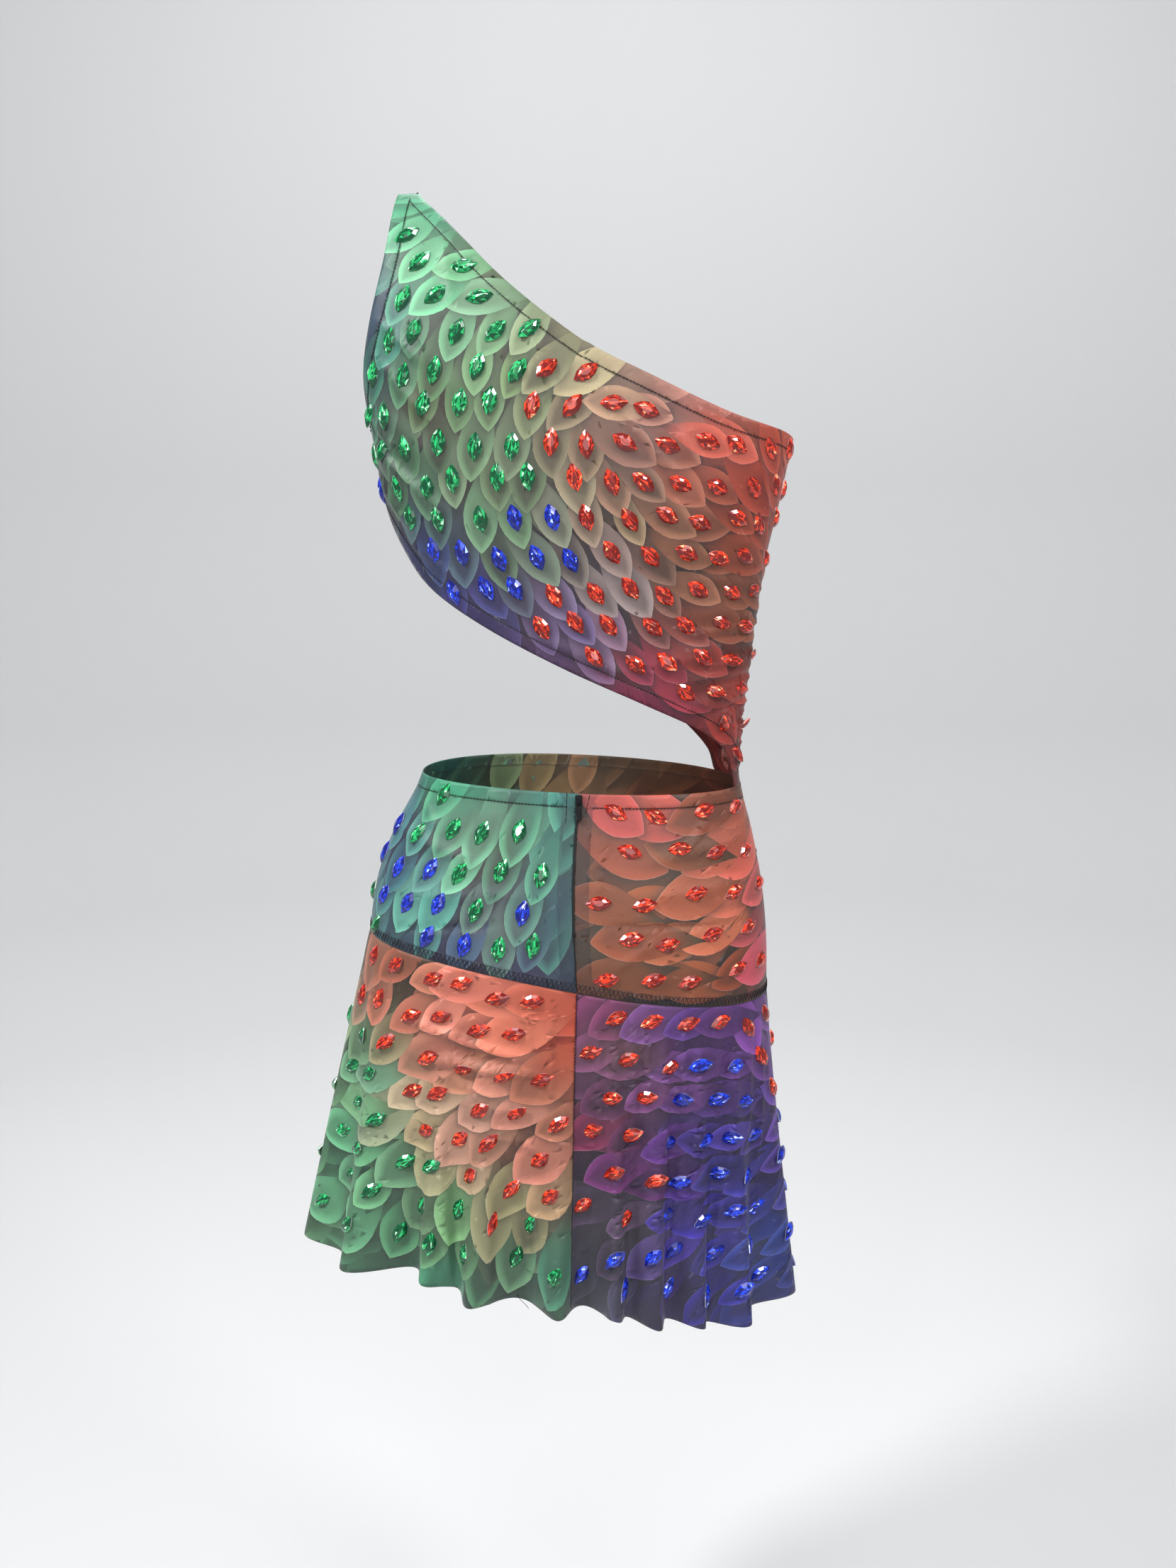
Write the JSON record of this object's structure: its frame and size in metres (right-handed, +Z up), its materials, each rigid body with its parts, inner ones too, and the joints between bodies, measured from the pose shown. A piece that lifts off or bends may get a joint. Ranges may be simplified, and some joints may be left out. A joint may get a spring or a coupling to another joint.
{
  "type": "party dress",
  "caption": "One-shoulder stretch-mesh mini dress with a cut-out waist, a hip yoke with a concealed back zip, a flared skirt and sewn-on marquise stones.",
  "frame": {"origin": "inner face of the strap's top, where the wearer's left shoulder holds the dress", "axes": "+Z up along the worn dress, +Y towards the back, +X towards the wearer's left; the middle of the body is at x = -0.123"},
  "size_m": [0.3896, 0.2193, 0.8196],
  "materials": {
    "bodice_back_cloth": "printed stretch mesh in greens, olive and red",
    "bodice_front_cloth": "printed stretch mesh",
    "yoke_back_left_cloth": "printed stretch mesh, mostly green",
    "yoke_back_right_cloth": "printed stretch mesh, brown and coral",
    "yoke_front_cloth": "printed stretch mesh",
    "skirt_back_left_cloth": "sheer printed stretch mesh, coral to green",
    "skirt_back_right_cloth": "sheer printed stretch mesh, purple to blue",
    "skirt_front_cloth": "sheer printed stretch mesh, blue and teal",
    "zip_tape_cloth": "black woven tape",
    "slider_enamel": "black enamel",
    "tab_enamel": "black enamel",
    "stone_green": "faceted clear stone with a foiled back",
    "stone_red": "faceted clear stone with a foiled back",
    "stone_blue": "faceted clear stone with a foiled back",
    "black_thread": "polyester sewing thread"
  },
  "bodies": {
    "dress": {"bodice_back": "bodice_back_cloth", "bodice_front": "bodice_front_cloth", "yoke_back_left": "yoke_back_left_cloth", "yoke_back_right": "yoke_back_right_cloth", "yoke_front": "yoke_front_cloth", "skirt_back_left": "skirt_back_left_cloth", "skirt_back_right": "skirt_back_right_cloth", "skirt_front": "skirt_front_cloth", "zip_tapes": "zip_tape_cloth", "zip_slider": "slider_enamel"},
    "pull_tab": {"zip_pull_tab": "tab_enamel"}
  },
  "joints": [
    {"name": "tab_swing", "type": "hinge", "parent": "dress", "child": "pull_tab", "pos_m": [-0.11641, 0.05537, -0.41507], "axis": [1, 0, 0], "range_deg": [0, 150]}
  ]
}
